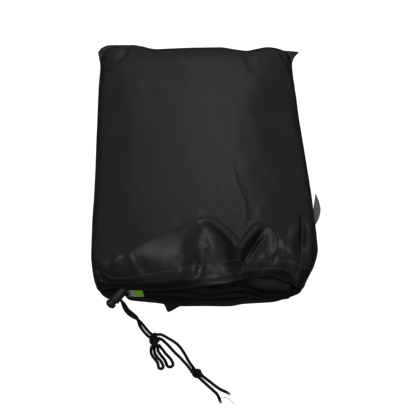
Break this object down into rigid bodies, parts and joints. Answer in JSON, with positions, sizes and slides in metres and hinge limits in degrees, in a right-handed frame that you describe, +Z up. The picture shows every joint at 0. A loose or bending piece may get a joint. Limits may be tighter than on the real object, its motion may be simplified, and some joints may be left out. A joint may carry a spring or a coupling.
{
  "type": "packed vehicle cover",
  "caption": "Vehicle cover folded and packed in its drawstring storage sack, lying flat, with a cord lock, knotted drawcord tails and small sewn labels.",
  "frame": {"origin": "middle of the sack, cover and labels seen from above, on the surface it lies on", "axes": "+X to the right seen from the mouth, +Y from the open mouth to the closed end, +Z up"},
  "size_m": [0.2328, 0.4158, 0.0634],
  "materials": {
    "sack_cloth": "coated black polyester, slightly glossy",
    "cover_cloth": "coated black polyester",
    "braid": "black braided cord",
    "lock_plastic": "moulded black plastic",
    "woven_label": "woven, green, grey and yellow-green",
    "plain_label": "thin grey film"
  },
  "bodies": {
    "pack": {"sack": "sack_cloth", "folded_cover": "cover_cloth", "mouth_label": "woven_label", "side_label": "plain_label", "toggle_barrel": "lock_plastic", "cord_a_lead": "braid", "cord_b_lead": "braid", "cord_a_bight": "braid", "cord_b_bight": "braid", "cord_a_middle": "braid", "cord_b_middle": "braid", "cord_a_end": "braid", "cord_b_end": "braid", "knot_upper": "braid", "knot_lower": "braid"},
    "plunger": {"toggle_plunger": "lock_plastic"}
  },
  "joints": [
    {"name": "plunger_press", "type": "slide", "parent": "pack", "child": "plunger", "axis": [0.6713, 0.6863, 0.2801], "range_m": [0, 0.002], "stiffness_N_per_m": 600}
  ]
}
